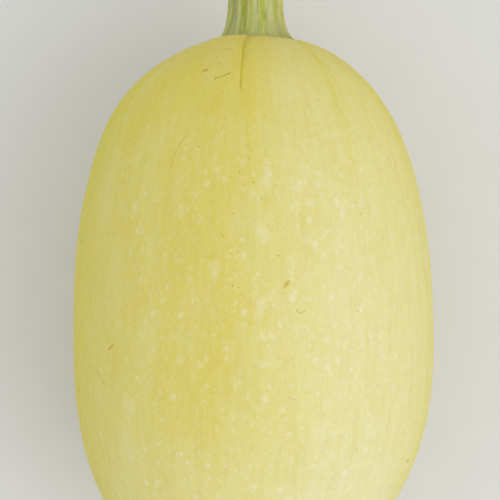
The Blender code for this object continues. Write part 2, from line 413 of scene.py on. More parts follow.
def fruit_surface(turn, out, along):
    """The outline turned about the axis, pushed along its normal by the relief, and set down.

    Each of SKIN_LUMPS is the height, size and seed of a fine unevenness.
    """
    round_skin = vectors(FRUIT_RADIUS * np.sin(turn), fruit_length, FRUIT_RADIUS * np.cos(turn))
    relief = sum(
        part(turn, out, along) for part in (seam_relief, crease_relief, swell_relief, blossom_relief)
    )
    relief = relief + WART_HEIGHT * soft_ovals(WARTS, turn, out, along)
    for height, size, seed in SKIN_LUMPS:
        relief = relief + height * smooth_noise(round_skin, size, seed)
    relief = relief * fade(out, 0.0, 0.001)
    out_here = out + relief * normal_out
    along_here = along + relief * normal_along
    seat = fade(out_here, SEAT_RADIUS * 1.06, SEAT_RADIUS * 0.97) * (along_here > 0)
    along_here = along_here + seat * (SEAT_Y - along_here)
    along_here = along_here + rim_relief(turn, out) * (along > 0)
    bow = np.where(along < 0, BLOSSOM_END_BOW * (along / BLOSSOM_END_REACH) ** 2, 0.0)
    height = AXIS_HEIGHT + out_here * np.cos(turn)
    height = (height + np.sqrt(height * height + CONTACT_ROUNDING**2)) / 2
    return vectors(out_here * np.sin(turn) - bow, along_here, height)


def fit_across(points, low, high):
    """Fits the points' width and height to the solid's box, in which they have to stay."""
    own_low, own_high = points.min(axis=(0, 1)), points.max(axis=(0, 1))
    scale = (high - low) / (own_high - own_low)
    print("fitted to the solid by", scale.round(5).tolist())
    fitted = low + (points - own_low) * scale
    fitted[..., 1] = np.maximum(points[..., 1], low[1])
    return fitted


fruit_grid = (fruit_turn, fruit_out, fruit_along)
fruit_points = fit_across(fruit_surface(*fruit_grid), fruit_low, fruit_high)
fruit_places = vectors(fruit_turn * FRUIT_RADIUS, fruit_length)

# %% [markdown]
# ## The rind's broad tones
# The rind isn't one yellow. Right of a clear edge down the middle it is paler, and so is the
# blossom half; towards the right and the blossom end, where the lamp stands, part of that
# paleness is painted sheen. Both flanks turn golden, the left one more so, and that golden tone
# is partly painted shade at the sides and on the left shoulder. The seam on the right is a
# golden line that fades at the shoulder's foot. The stem end is deeper, partly with painted
# shade, and a thin painted highlight runs along the edge of the lobe left of the crease. The
# spot that the fruit lies on is creamy. These are broad and smooth, so they are worked out for
# each vertex and kept on the mesh, where the finish reads them by name. What is finer than the
# grid comes later, from noise.

# %% Hazy blotches: turn in degrees, place along the axis, half width and stretch
BLOTCHES = (
    (4.2, 0.0560, 0.0026, 2.6), (3.3, 0.0370, 0.0026, 1.5), (-39.7, -0.0239, 0.0036, 1.3),
    (-11.3, 0.0240, 0.0028, 1.8), (1.8, 0.0102, 0.0026, 1.6), (-22.1, 0.0460, 0.0018, 1.4),
    (15.7, 0.0350, 0.0020, 1.5), (-39.1, 0.0465, 0.0019, 1.5), (-36.1, 0.0380, 0.0017, 1.3),
    (26.2, 0.0334, 0.0019, 1.4), (-15.4, -0.0090, 0.0018, 1.6), (72.0, 0.0280, 0.0030, 1.7),
    (118.0, -0.0200, 0.0034, 1.5), (-88.0, 0.0330, 0.0030, 1.6), (-133.0, -0.0150, 0.0033, 1.4),
)

# %% Where the rind is pale, deep, golden, creamy or corky
MIDDLE_EDGE = math.radians(-2.4)
MIDDLE_EDGE_SLANT = math.radians(72)
RIGHT_SEAM_TURN = math.radians(34.5)
RIGHT_SEAM_END = (0.045, 0.082)


def pale_and_sheen_tone(turn, out, along):
    """Grows rightwards by a step at the middle's slanting edge and a slope, and towards the blossom.
    The slope and the paling towards the blossom, where the lamp stands, are partly the rind's own tone
    and partly painted sheen.
    """
    # Paler towards the blossom end, where the lamp stands: partly painted sheen.
    everywhere = 0.13 * fade(along, 0.085, 0.045) + 0.22 * fade(along, -0.015, -0.060)
    low_left = 0.10 * bell(turn_gap(turn, math.radians(-22)), 0.42) * fade(along, -0.015, -0.050)
    shoulder = 0.07 * bell(along - 0.081, 0.015) * fade(np.sin(turn), 0.0, 0.25)
    # Paler to the right: partly the rind's own tone and partly painted sheen from the lamp on that
    # side.
    slope = fade(np.sin(turn), -0.10, 0.55) * (0.20 + 0.38 * fade(along, 0.110, 0.0))
    edge = MIDDLE_EDGE + MIDDLE_EDGE_SLANT * (along - 0.030)
    step = 0.12 * fade(turn_gap(turn, edge), -0.05, 0.05) * fade(turn, 1.2, 0.1)
    off_scar = np.where(along > 0, 1.0, fade(out, 0.002, 0.056))
    return everywhere + low_left + off_scar * (slope + step + shoulder) + (1 - off_scar) * 0.30


def deep_and_shade_tone(turn, out, along):
    """A band left of the middle, the stem end, the wedge, the rim and the blossom's scar. The stem
    end's deeper tone is partly painted shade.
    """
    left_band = fade(turn, math.radians(-34), math.radians(-16)) * fade(turn, 0.02, -0.03)
    left_band = left_band * fade(along, 0.112, 0.080) * fade(along, -0.060, -0.010)
    wedge = wedge_present(seam_aside(turn, out, along, CREASE_TURN), along)
    rim = bell(out - 1.03 * SEAT_RADIUS, 0.0022) * (along > 0) * fade(turn, -0.1, 0.05)
    scar = bell(out - 0.0066, 0.0024) * (along < 0)
    # Deeper towards the stem end: partly its own tone and partly painted shade.
    total = 0.15 * left_band + 0.22 * fade(along, 0.092, 0.106)
    return np.minimum(total + 0.8 * wedge + 0.4 * rim + 0.5 * scar, 1.0)


def gold_and_shade_tone(turn, out, along):
    """The flanks, more so on the left and towards both ends, the left shoulder and the right seam. The
    golden tone on the sides and the left shoulder is partly painted shade, and the thin band at the
    very edge of each side is a painted glow.
    """
    side = np.sin(turn)
    off_pole = np.where(along > 0, fade(out, 0.012, 0.034), fade(out, 0.008, 0.070))
    ends = fade(along, 0.030, 0.080) + fade(along, -0.008, -0.058)
    # Painted shade, in part: the sides are a deeper golden, more on the left, where less light reaches
    # them.
    flank_gold_and_shade = fade(np.abs(side), 0.78, 1.0) * off_pole
    flank_gold_and_shade = flank_gold_and_shade * (0.44 - 0.20 * side + (0.21 + 0.09 * side) * ends)
    # A painted glow in a thin band at the very edge of each side, stronger on the right.
    flank_gold_and_shade = flank_gold_and_shade + (0.10 + 0.05 * side) * fade(np.abs(side), 0.91, 0.985) * off_pole
    # Painted shade on the left shoulder.
    left_shoulder_shade = fade(side, -0.25, -0.85) * fade(along, 0.050, 0.095)
    seam = bell(seam_aside(turn, out, along, RIGHT_SEAM_TURN), 0.0015) * fade(out, SEAT_RADIUS, 0.022)
    seam = seam * (0.30 * fade(along, *RIGHT_SEAM_END) + 0.66 * fade(along, 0.094, 0.111))
    return flank_gold_and_shade + 0.22 * left_shoulder_shade + seam


def ground_tone(turn, along):
    """A long creamy patch on the underside."""
    aside = turn_gap(turn, np.pi) / 0.62
    return fade(np.hypot(aside, (along - 0.005) / 0.075), 1.15, 0.55)


def lip_highlight_tone(turn, out, along):
    """A thin pale line on the left of the crease, close beside the stem: a painted highlight on the
    proud lobe's edge.
    """
    aside = seam_aside(turn, out, along, CREASE_TURN)
    return 0.55 * bell(aside + 0.0006, 0.0006) * fade(along, 0.1062, 0.1090)


rind_paints = {
    "pale": pale_and_sheen_tone(*fruit_grid),
    "deep_and_shade": deep_and_shade_tone(*fruit_grid),
    "gold_and_shade": gold_and_shade_tone(*fruit_grid),
    "ground": ground_tone(fruit_turn, fruit_along),
    "lip_highlight": lip_highlight_tone(*fruit_grid),
    "blotch": np.minimum(soft_ovals(BLOTCHES, *fruit_grid), 1.0),
    "cork": button_present(*fruit_grid),
}
rind_skin = closed_mesh("rind_skin", fruit_points, fruit_places, rind_paints)


# %% Places on the finished rind
def rind_point(degrees, along):
    """The point of the skin at a turn in degrees and a place along the axis in metres."""
    row = np.interp(-along, -fruit_along[:, 0], np.arange(FRUIT_ROWS))
    column = np.interp(math.radians(degrees), fruit_turn[0], np.arange(FRUIT_COLUMNS + 1))
    top, left = int(row), int(column)
    down, right = row - top, column - left
    patch = fruit_points[top : top + 2, left : left + 2]
    above, below = patch[:, 0] * (1 - right) + patch[:, 1] * right
    return above * (1 - down) + below * down


print("the middle of the top, mm:", (rind_point(0.0, 0.03) * 1000).round(1).tolist())

# %% [markdown]
# ## The scab
# A graze on the top healed to a small raised scab. It is a mound of its own, a polar grid on an
# oval: the upper side rises by a power of what is left of the radius, and the lower side dips
# into the rind, so the mound is closed and its edge lies under the skin.

# %% Shape the scab
SCAB_ENDS = ((8.6, 0.0178), (10.3, 0.0203))
SCAB_WIDTH = 0.0012
SCAB_HEIGHT = 0.00030
SCAB_SINK = 0.00012
SCAB_DROP = 0.00002
SCAB_COLUMNS = 56
SCAB_ROWS = 15


def scab_surface():
    """Rows go out from the top's middle to the edge and back underneath; columns go round."""
    start, end = (rind_point(*place) for place in SCAB_ENDS)
    middle = (start + end) / 2
    length = np.linalg.norm(end - start)
    lengthwise = (end - start) / length
    upwards = np.array([middle[0], 0.0, middle[2] - AXIS_HEIGHT])
    upwards = upwards / np.linalg.norm(upwards)
    sideways = np.cross(upwards, lengthwise)
    step = np.linspace(-1, 1, 2 * SCAB_ROWS - 1)[:, None]
    share = 1 - np.abs(step)
    around = -np.linspace(0, 2 * np.pi, SCAB_COLUMNS + 1)[None, :]
    ragged = 1 + 0.08 * np.sin(3 * around + 1.0) + 0.06 * np.sin(7 * around) + 0.25 * np.cos(around)
    crumbs = 1 + 0.22 * np.sin(23 * share + 3 * around) * np.sin(5 * around + 2.0)
    rise = np.where(step < 0, SCAB_HEIGHT * crumbs, -SCAB_SINK) * (1 - share**2) ** 0.6
    long_part = length / 2 * share * np.cos(around)
    wide_part = SCAB_WIDTH / 2 * share * ragged * np.sin(around)
    points = middle + long_part[..., None] * lengthwise + wide_part[..., None] * sideways
    points = points + (rise - SCAB_DROP)[..., None] * upwards
    places = vectors(around * SCAB_WIDTH, share * SCAB_WIDTH)
    return points, places, share * (0.82 - 0.18 * np.sin(around))


scab_points, scab_places, scab_edge = scab_surface()
scab = closed_mesh("scab", scab_points, scab_places, {"edge": scab_edge})

# %% [markdown]
# ## The stem's form
# A squash stem is five-sided with rounded corners, and a weaker ridge stands between each two
# corners. Dry stems shrink between their fibres, so the ridges split into fine cords. It spreads
# where it meets the fruit, and it ends in a knife cut: a nearly flat face with a pale pith, a
# ring of darker fibre bundles, and a small hollow.

# %% The stem's sizes
STEM_LENGTH = 0.040
STEM_RADIUS = 0.0097
FOOT_SPREAD = 0.0056
FOOT_SPREAD_TO_RIGHT = 0.10
FOOT_HEIGHT = 0.0042
CUT_END_SPREAD = 0.0009
CUT_SLANT = math.radians(7)
CUT_HOLLOW = 0.0012
MAJOR_RIDGE_TURNS = np.radians([-4, 68, 140, 212, 284])
MINOR_RIDGE_TURNS = np.radians([32, 104, 176, 248, 320])
MAJOR_RIDGE_HEIGHT = 0.0013
MINOR_RIDGE_HEIGHT = 0.0008
RIDGE_HALF_ANGLE = math.radians(9.5)
STEM_RISE = 0.0025
STEM_ASIDE = 0.0010
STEM_LEAN = 0.0008
STEM_SINK = 0.0006
CORD_HEIGHT = 0.00022
CUT_EDGE_ROUNDING = 0.0005


# %% The stem's outline
def ridge_relief(turn, major_height, minor_height):
    """A bell across each ridge, of one height on the major ridges and another on the minor."""
    major, minor = (
        sum(bell(turn_gap(turn, at), RIDGE_HALF_ANGLE) for at in turns)
        for turns in (MAJOR_RIDGE_TURNS, MINOR_RIDGE_TURNS)
    )
    return major_height * major + minor_height * minor


def stem_radius(turn, up):
    """The shaft and its ridges, and the spread at its foot and cut end by falling exponentials."""
    ridges = ridge_relief(turn, MAJOR_RIDGE_HEIGHT, MINOR_RIDGE_HEIGHT)
    foot = FOOT_SPREAD * (1 + FOOT_SPREAD_TO_RIGHT * np.sin(turn)) * np.exp(-up / FOOT_HEIGHT)
    cut_end = CUT_END_SPREAD * np.exp(-(STEM_LENGTH - up) / FOOT_HEIGHT)
    return STEM_RADIUS + foot + cut_end + ridges


def cords(turn, up):
    """Fine fibres along the skin: noise stretched ten times lengthwise, with a few deeper splits."""
    skin = vectors(STEM_RADIUS * np.sin(turn), up / 10, STEM_RADIUS * np.cos(turn))
    fibres = smooth_noise(skin, 0.0011, 11) + 0.6 * smooth_noise(skin, 0.0005, 12)
    splits = fade(smooth_noise(skin, 0.0022, 13), 0.35, 0.75)
    return fibres - 1.3 * splits


# %% Shape the stem
STEM_COLUMNS = 420
SIDE_ROWS = 150
CUT_ROWS = 60
FOOT_ROWS = 6


def cut_face_sink(turn, share):
    """How far the cut face lies below its plane: a hollow pith and a ring of fibre bundles."""
    ragged_share = share + 0.020 * np.sin(3 * turn + 1.0) + 0.010 * np.sin(7 * turn)
    hollow = CUT_HOLLOW * bell(share, 0.30) + 0.0008 * fade(ragged_share, 0.17, 0.08)
    ring = 0.00025 * bundle_ring(turn, share)
    return hollow - ring + 0.0001 * np.sin(37 * share + 3 * np.sin(2 * turn))


def bundle_ring(turn, share):
    """1 on each of the ten fibre bundles, which stand in an uneven ring between pith and skin."""
    total = 0.0
    for number, at in enumerate([*MAJOR_RIDGE_TURNS, *MINOR_RIDGE_TURNS]):
        aside = turn_gap(turn, at + 0.07 * math.sin(3.1 * number))
        width = math.radians(7.5 + 2.2 * math.sin(1.7 * number))
        total = total + bell(aside, width) * bell(share - 0.71 - 0.035 * math.sin(2.3 * number), 0.075)
    return total


# %% The stem's stripes: turn and half width in degrees, and how strong
STRIPES = {
    "grey": ((-54, 21, 1.0), (3.5, 3.0, 1.0), (112, 12, 0.8), (208, 12, 0.8)),
    "yellow": (
        (12, 7, 1.0), (-10, 4, 0.8), (44, 5, 1.0), (76, 6, 0.7),
        (168, 6, 0.8), (256, 6, 0.7), (-68, 6, 0.6),
    ),
    "tan": ((-16.0, 4.5, 0.85), (62, 17, 0.8), (152, 7, 0.6), (247, 8, 0.7), (-82, 5, 0.6)),
    "olive": (
        (-25, 6.8, 1.0), (44, 4.6, 0.5), (92, 6, 0.8),
        (136, 7, 0.9), (190, 6, 0.7), (228, 7, 0.9), (268, 5, 0.6),
    ),
}


def stripes(turn, up, kinds):
    """Bells across lengthwise stripes, which wander a little on their way up the stem."""
    skin = vectors(STEM_RADIUS * np.sin(turn), up / 6, STEM_RADIUS * np.cos(turn))
    wander = math.radians(3.0) * smooth_noise(skin, 0.0027, 21)
    total = 0.0
    for degrees, half_width, strength in kinds:
        gap = turn_gap(turn + wander, math.radians(degrees))
        total = total + strength * bell(gap, math.radians(half_width))
    return np.minimum(total, 1.0)


def stem_surface():
    """From the middle of the cut face out to its edge, down the side, and in under the foot."""
    turn = np.linspace(-np.pi, np.pi, STEM_COLUMNS + 1)[None, :]
    cut_share = np.linspace(0.0, 1.0, CUT_ROWS, endpoint=False)[:, None]
    up_share = 1 - np.linspace(0.0, 1.0, SIDE_ROWS)[:, None] ** 0.9
    foot_share = np.linspace(1.0, 0.0, FOOT_ROWS + 1)[1:, None]
    across = np.concatenate([cut_share, np.ones_like(up_share), foot_share])
    up = STEM_LENGTH * np.concatenate([np.ones_like(cut_share), up_share, np.zeros_like(foot_share)])
    on_cut = 1.0 * (np.arange(len(across)) < CUT_ROWS)[:, None]
    up_part = up / STEM_LENGTH
    edge = CUT_EDGE_ROUNDING * fade(up, STEM_LENGTH - 0.0010, STEM_LENGTH) ** 2
    cord = cords(turn, up)
    skin = stem_radius(turn, up) + CORD_HEIGHT * cord * fade(across, 0.5, 1.0) - edge
    out = across * skin
    slant = math.tan(CUT_SLANT) * out * np.cos(turn) * up_part**4
    bend = up_part * up_part
    x = out * np.sin(turn) + STEM_ASIDE + STEM_LEAN * bend
    y = stem_low[1] + up - slant - on_cut * cut_face_sink(turn, across)
    y = np.minimum(y - STEM_SINK * (1 - up_part) ** 8, stem_high[1])
    z = AXIS_HEIGHT + out * np.cos(turn) + STEM_RISE * bend
    lengthwise = up + (1 - across) * STEM_RADIUS * (2 * on_cut - 1)
    places = vectors(turn * STEM_RADIUS, lengthwise)
    paints = {name: stripes(turn, up, kinds) for name, kinds in STRIPES.items()}
    paints |= {
        "ridge": ridge_relief(turn, 1.0, 0.9),
        "foot": bell(turn_gap(turn, math.radians(50)), math.radians(32)) * fade(up, 0.0100, 0.0050),
        "cord": cord,
        "up": up * 1000,
        "face": on_cut * fade(across, 1.0, 0.97),
        "across": across,
        "bundle": bundle_ring(turn, across) * on_cut,
    }
    return vectors(x, y, z), places, paints


stem_points, stem_places, stem_paints = stem_surface()
stem_skin = closed_mesh("stem_skin", stem_points, stem_places, stem_paints)
print("stem skin, mm:", (np.ptp(stem_points, axis=(0, 1)) * 1000).round(1).tolist())

# %% [markdown]
# ## Shader maths as plain expressions
# A finish is a web of nodes, and most of it is arithmetic. A Wire stands for one output socket,
# and arithmetic on Wires adds the nodes for it, so a pattern is written as a formula. Colours go
# through Mix nodes and vectors through Vector Math nodes.

# %% Wires
def fill(node, inputs):
    """Gives a node's sockets their values, or a link where the value is a Wire."""
    for name, value in inputs.items():
        if isinstance(value, Wire):
            node.id_data.links.new(value.socket, node.inputs[name])
        else:
            node.inputs[name].default_value = value


class Wire:
    """One output socket of a material. Arithmetic adds Math nodes, and node() adds any other."""

    def __init__(self, socket):
        self.socket = socket

    def node(self, kind, inputs, output=0, **settings):
        """Adds a node with these settings and inputs, and gives one of its outputs."""
        made = self.socket.id_data.nodes.new("ShaderNode" + kind)
        for name, value in settings.items():
            setattr(made, name, value)
        fill(made, inputs)
        return Wire(made.outputs[output])

    def other(self, output):
        """Another output of the same node."""
        return Wire(self.socket.node.outputs[output])

    def math(self, operation, *others):
        """A Math node on this Wire and on others."""
        return self.node("Math", dict(enumerate((self, *others))), operation=operation)

    def vector(self, operation, *others, output=0):
        """A Vector Math node on this Wire and on others."""
        values = dict(enumerate((self, *others)))
        return self.node("VectorMath", values, output, operation=operation)

    __add__ = partialmethod(math, "ADD")
    __sub__ = partialmethod(math, "SUBTRACT")
    __mul__ = partialmethod(math, "MULTIPLY")
    __truediv__ = partialmethod(math, "DIVIDE")

    def inverse(self):
        """1 where this Wire is 0, and 0 where it is 1."""
        return self.node("Math", {0: 1.0, 1: self}, operation="SUBTRACT")

    def length(self):
        """The length of this vector."""
        return self.vector("LENGTH", output="Value")

    def split(self):
        """This vector's x, y and z."""
        parts = self.node("SeparateXYZ", {"Vector": self})
        return parts, parts.other("Y"), parts.other("Z")

    def fade(self, start, end):
        """0 before start and 1 after end, with a smooth slope between them."""
        ends = {"Value": self, "From Min": start, "From Max": end}
        return self.node("MapRange", ends, interpolation_type="SMOOTHSTEP")

    def mix(self, low, high):
        """Colours: low where this Wire is 0, and high where it is 1."""
        return self.node("Mix", {0: self, 6: low, 7: high}, output=2, data_type="RGBA")

    def noise(self, size, detail=2.0, rough=0.5):
        """Noise from 0 to 1 on these coordinates, with lumps of this size."""
        settings = {"Vector": self, "Scale": 1 / size, "Detail": detail, "Roughness": rough}
        return self.node("TexNoise", settings)

    def paint(self, name):
        """The numbers that closed_mesh kept under this name."""
        return self.node("Attribute", {}, "Fac", attribute_name=name)

    def bump(self):
        """A normal for a surface with this height in millimetres."""
        return self.node("Bump", {"Height": self, "Distance": 0.001}, "Normal")


# %% Colours and finishes
def tone(red, green, blue):
    """A colour as a screen shows it, 0 to 255, as the linear values that a shader mixes."""
    return (*(((part / 255 + 0.055) / 1.055) ** 2.4 for part in (red, green, blue)), 1.0)


def lay(colour, *coats):
    """Lays coats over a colour in turn. Each is how much it covers, from 0 to 1, and its colour."""
    for cover, coat in coats:
        colour = cover.mix(colour, coat)
    return colour


def rolled(surface, radius):
    """The turn about the axis, and the unrolled skin's place rolled into a tube of this radius."""
    around, along, _ = surface.node("UVMap", {}, uv_map="skin").split()
    turn = around / radius
    return turn, (turn.math("SINE") * radius, along, turn.math("COSINE") * radius)


def stretched(across, along, up, times):
    """Coordinates in which a pattern comes out this many times longer along the skin."""
    return along.node("CombineXYZ", {"X": across, "Y": along / times, "Z": up})


def finish(piece, name, paint):
    """Gives a piece a new material.

    paint gets a Wire on the Object coordinates, and returns what its shader's sockets get.
    """
    material = bpy.data.materials.new(name)
    material.use_nodes = True
    nodes = material.node_tree.nodes
    coordinates = nodes.new("ShaderNodeTexCoord")
    fill(nodes["Principled BSDF"], paint(Wire(coordinates.outputs["Object"])))
    piece.data.materials.append(material)
    print(f"{name}: {len(nodes)} nodes")


# %% [markdown]
# ## The rind's finish
# Seen close, the rind is butter yellow under thousands of soft cream flecks. Most are a
# millimetre or two across and a little longer than wide, and they gather in lengthwise columns
# with a finer dust between. Hair-fine streaks run from end to end, and there are pinprick pores,
# a few grazes and some larger hazy blotches. The flecks are Voronoi cells, of which only some
# hold a speck, and the other marks are soft spots and strokes, by the distance to their places.

# %% Patterns that the rind uses
def specks(skin, cell, largest, share):
    """Soft round specks: this share of the Voronoi cells holds one, each of its own size."""
    cells = skin.node("TexVoronoi", {"Vector": skin, "Scale": 1 / cell})
    own = cells.node("SeparateColor", {"Color": cells.other("Color")})
    radius = (own * 0.55 + 0.45) * (largest / cell)
    kept = own.other("Green").fade(share, share - 0.08)
    return (cells / radius).inverse().fade(0.0, 0.80) * kept * (own.other("Blue") * 0.5 + 0.5)


def strongest(masks):
    """The largest of several masks at each point."""
    total = masks[0]
    for mask in masks[1:]:
        total = total.math("MAXIMUM", mask)
    return total


def spots(surface, places, radius):
    """1 near each of these places on the rind, and 0 beyond the radius."""
    gaps = [surface.vector("SUBTRACT", tuple(rind_point(*place))) for place in places]
    return strongest([gap.length().fade(radius, 0.25 * radius) for gap in gaps])


def strokes(surface, lines, half_width):
    """Thin lines through places on the rind, by the distance to the nearest straight piece."""
    pieces = []
    for line in lines:
        points = [rind_point(*place) for place in line]
        for start, end in zip(points, points[1:]):
            run = end - start
            gap = surface.vector("SUBTRACT", tuple(start))
            reach = gap.vector("DOT_PRODUCT", tuple(run / run.dot(run)), output="Value")
            reach = reach.node("Clamp", {"Value": reach})
            beside = gap.node("VectorMath", {0: tuple(run), "Scale": reach}, operation="SCALE")
            pieces.append(gap.vector("SUBTRACT", beside).length().fade(half_width, 0.3 * half_width))
    return strongest(pieces)


# %% The marks on the rind, each at a turn in degrees and a place along the axis in metres
PORES = (
    (-6.0, 0.0436), (-8.9, 0.0357), (-4.2, 0.0581), (-1.4, 0.0627), (0.0, 0.0545), (2.6, 0.0486),
    (7.4, 0.0289), (34.7, 0.0437), (26.4, 0.0849), (3.7, 0.0923), (-5.8, 0.0185), (31.7, 0.0094),
    (-18.0, 0.0672), (12.0, -0.0208), (34.4, -0.0398),
)
PINPRICKS = (
    (-6.1, 0.0418), (-6.8, 0.0466), (-9.4, 0.0367), (-6.6, 0.0301), (-6.1, 0.0294), (-4.4, 0.0303),
    (-4.4, 0.0180), (9.1, 0.0041), (-25.0, 0.0184), (14.6, 0.0032), (8.3, 0.0158), (9.1, 0.0156),
    (12.3, 0.0130), (14.9, 0.0834), (0.8, 0.1010), (4.0, 0.0965), (0.3, 0.0923), (-1.5, 0.0893),
    (-1.3, 0.0869), (0.8, 0.0869), (-8.3, 0.0827), (-10.3, 0.0870), (-12.3, 0.0874), (-19.7, 0.1012),
    (-10.1, 0.0778), (-11.2, 0.0737), (-7.6, 0.0750), (-3.4, 0.0772), (-5.3, 0.0800), (-1.8, 0.0796),
    (19.4, 0.0797), (-19.6, 0.0692), (-1.5, 0.0664), (4.0, 0.0606), (30.3, 0.0044), (41.6, -0.0132),
    (41.1, -0.0170), (48.9, -0.0180), (32.5, -0.0261),
)
SCRATCH = ((-16.9, 0.0924), (-15.9, 0.0929), (-13.3, 0.0934), (-11.0, 0.0945), (-10.5, 0.0947))
SCRATCH_ENDS = ((-16.6, 0.0925), (-11.1, 0.0944))
CRACK = ((-22.8, 0.0724), (-25.2, 0.0692), (-26.5, 0.0656), (-27.5, 0.0603))
GRAZES = (((141.0, 0.0420), (147.0, 0.0370)), ((-148.0, -0.0300), (-152.0, -0.0240)))
DASHES = (
    ((-17.1, 0.1047), (-13.0, 0.1046)), ((-17.8, 0.0982), (-16.3, 0.0985)),
    ((12.3, 0.0102), (12.6, 0.0093), (13.5, 0.0090), (14.7, 0.0098)),
    ((-55.2, -0.0134), (-54.0, -0.0147)), ((-52.9, -0.0158), (-51.4, -0.0173)),
    ((-63.2, 0.0067), (-63.0, 0.0054)), ((-46.9, 0.0057), (-46.9, 0.0045)),
)
TAN_SPOTS = ((64.6, -0.0472), (-72.7, -0.0218), (-72.5, 0.0343), (96.0, 0.0560), (-118.0, 0.0400))
AMBER_DASH = ((-23.4, 0.0957), (-22.5, 0.0961))
AMBER_GRAZE = ((-48.2, -0.0048), (-46.6, -0.0032))

# %% The rind's colours
BUTTER = tone(224, 208, 93)
CREAM = tone(230, 223, 168)
DEEP_YELLOW = tone(212, 190, 66)
GOLD_AND_SHADE_COLOUR = tone(219, 205, 50)
FLECK = tone(238, 231, 196)
DUST = tone(229, 221, 150)
STREAK = tone(208, 194, 84)
PORE = tone(152, 128, 26)
CREASE_OLIVE_AND_SHADE = tone(200, 184, 30)
LIP_HIGHLIGHT = tone(216, 196, 116)
TAN = tone(196, 162, 60)
AMBER = tone(198, 150, 34)
SCAR = tone(172, 146, 54)
SCAR_DARK = tone(128, 104, 50)
GROUND_CREAM = tone(240, 222, 170)
CORK = tone(178, 146, 100)
CORK_DARK = tone(122, 94, 62)

# %% The marks' half widths, strengths and colours, from the lowest to the uppermost
MARKS = (
    (spots, TAN_SPOTS, 0.0013, 0.75, TAN),
    (strokes, [CRACK], 0.00045, 0.30, TAN),
    (strokes, [AMBER_DASH], 0.00105, 0.66, AMBER),
    (strokes, [AMBER_GRAZE], 0.00065, 0.66, AMBER),
    (strokes, DASHES, 0.00036, 0.38, SCAR),
    (strokes, [SCRATCH, *GRAZES], 0.00040, 0.58, SCAR),
    (spots, SCRATCH_ENDS, 0.00060, 0.42, SCAR_DARK),
    (spots, PINPRICKS, 0.00042, 0.28, PORE),
    (spots, PORES, 0.00050, 0.46, PORE),
)

# %% The sizes of the rind's patterns
WOBBLE_LUMP = 0.0014
WOBBLE = 0.0018
HAZE_LUMP = 0.011
COLUMN_WIDTH = 0.0032
HAIR_WIDTH = 0.0008
MOTTLE_LUMP = 0.0019
GRAIN_LUMP = 0.0006
CLOUD_LUMP = 0.0032
CRUMB_LUMP = 0.0012
DUST_CELL = 0.0015
DUST_RADIUS = 0.0009
DUST_SHARE = 0.85
FLECK_CELL = 0.0032
FLECK_RADIUS = 0.0017
FLECK_SHARE = 0.64
CREASE_LINE = (0.00052, 0.00016)
CREASE_WARM_SIDE = (0.0026, 0.0006)


